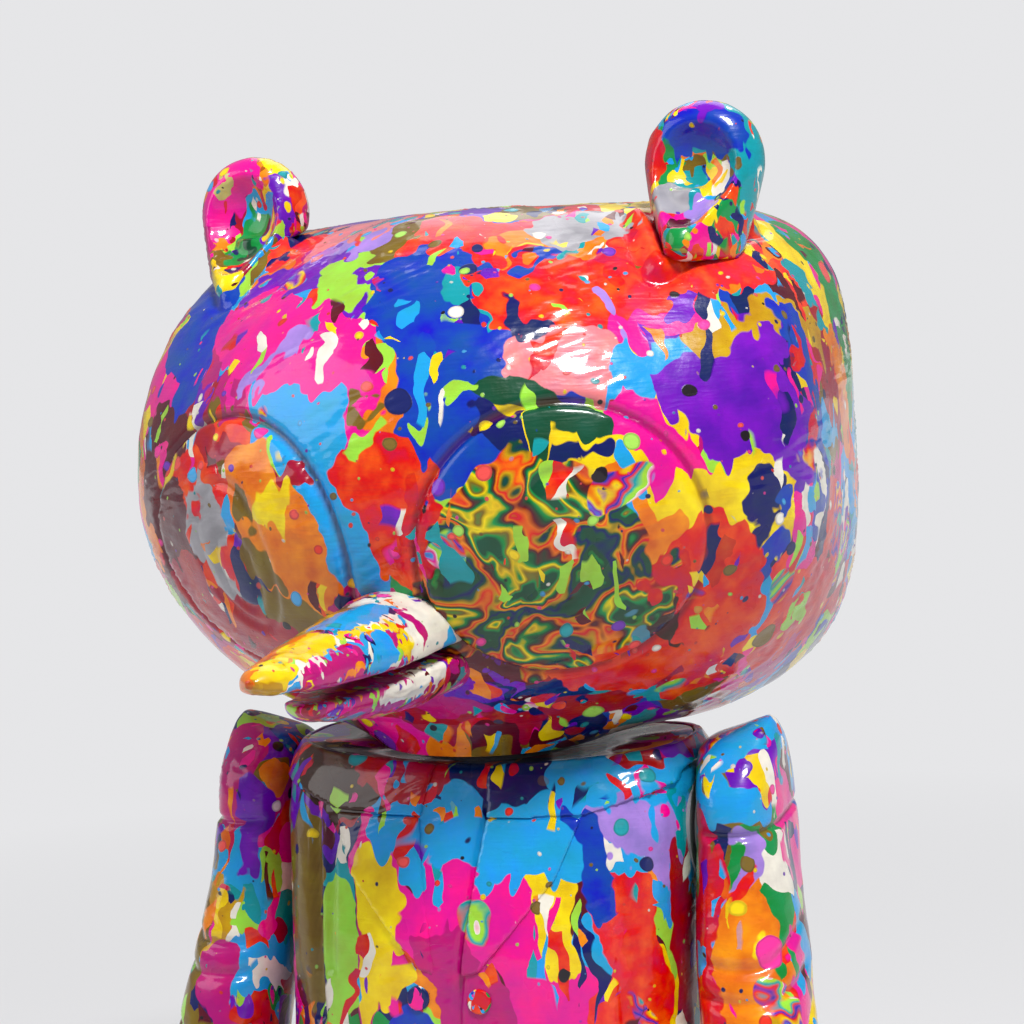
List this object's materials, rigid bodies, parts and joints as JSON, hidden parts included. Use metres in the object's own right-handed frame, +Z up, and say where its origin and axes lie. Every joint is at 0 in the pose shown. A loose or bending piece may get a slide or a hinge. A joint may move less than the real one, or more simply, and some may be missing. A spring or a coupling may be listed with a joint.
{
  "type": "vinyl art toy",
  "caption": "Stocky standing vinyl figure with an oversized egg-shaped head, round ears, ring eyes, an open beak and a lapel jacket, covered in splattered gloss paint.",
  "frame": {"origin": "on the ground, at the centre of the toy's bounding box seen from above", "axes": "+Z up, the toy faces -Y, its left side is +X"},
  "size_m": [0.1126, 0.125, 0.2045],
  "materials": {
    "painted_vinyl": "poured and splattered gloss paint in many colours under a clear coat",
    "joint_plastic": "plain moulded hard plastic, hidden inside the joints",
    "sole_vinyl": "satin black vinyl outsole with paint on its edge",
    "weight": "bare cast weight, hidden in the body"
  },
  "bodies": {
    "torso": {"jacket_body": "painted_vinyl", "collar": "painted_vinyl", "left_lapel": "painted_vinyl", "right_lapel": "painted_vinyl", "buttons": "painted_vinyl", "neck_peg": "joint_plastic", "left_shoulder_socket": "joint_plastic", "right_shoulder_socket": "joint_plastic", "hip_plate": "joint_plastic", "ballast": "weight", "left_leg": "painted_vinyl", "right_leg": "painted_vinyl", "left_shoe": "painted_vinyl", "right_shoe": "painted_vinyl", "left_sole": "sole_vinyl", "right_sole": "sole_vinyl"},
    "head": {"head_shell": "painted_vinyl", "left_ear": "painted_vinyl", "right_ear": "painted_vinyl", "upper_beak": "painted_vinyl", "lower_beak": "painted_vinyl", "neck_socket": "joint_plastic"},
    "left_arm": {"left_sleeve": "painted_vinyl", "left_shoulder_peg": "joint_plastic", "left_cuff_bush": "joint_plastic"},
    "right_arm": {"right_sleeve": "painted_vinyl", "right_shoulder_peg": "joint_plastic", "right_cuff_bush": "joint_plastic"},
    "left_fist": {"left_hand": "painted_vinyl"},
    "right_fist": {"right_hand": "painted_vinyl"}
  },
  "joints": [
    {"name": "head_swivel", "type": "hinge", "parent": "torso", "child": "head", "pos_m": [0, 0.02045, 0.105], "axis": [0, 0, 1], "continuous": true},
    {"name": "left_shoulder_swivel", "type": "hinge", "parent": "torso", "child": "left_arm", "pos_m": [0.0344, 0.02045, 0.093], "axis": [-1, 0, 0], "range_deg": [-50, 75]},
    {"name": "right_shoulder_swivel", "type": "hinge", "parent": "torso", "child": "right_arm", "pos_m": [-0.0344, 0.02045, 0.093], "axis": [-1, 0, 0], "range_deg": [-50, 75]},
    {"name": "left_wrist_swivel", "type": "hinge", "parent": "left_arm", "child": "left_fist", "pos_m": [0.0454, 0.00525, 0.047], "axis": [0, 0, 1], "continuous": true},
    {"name": "right_wrist_swivel", "type": "hinge", "parent": "right_arm", "child": "right_fist", "pos_m": [-0.0454, 0.00525, 0.047], "axis": [0, 0, 1], "continuous": true}
  ]
}
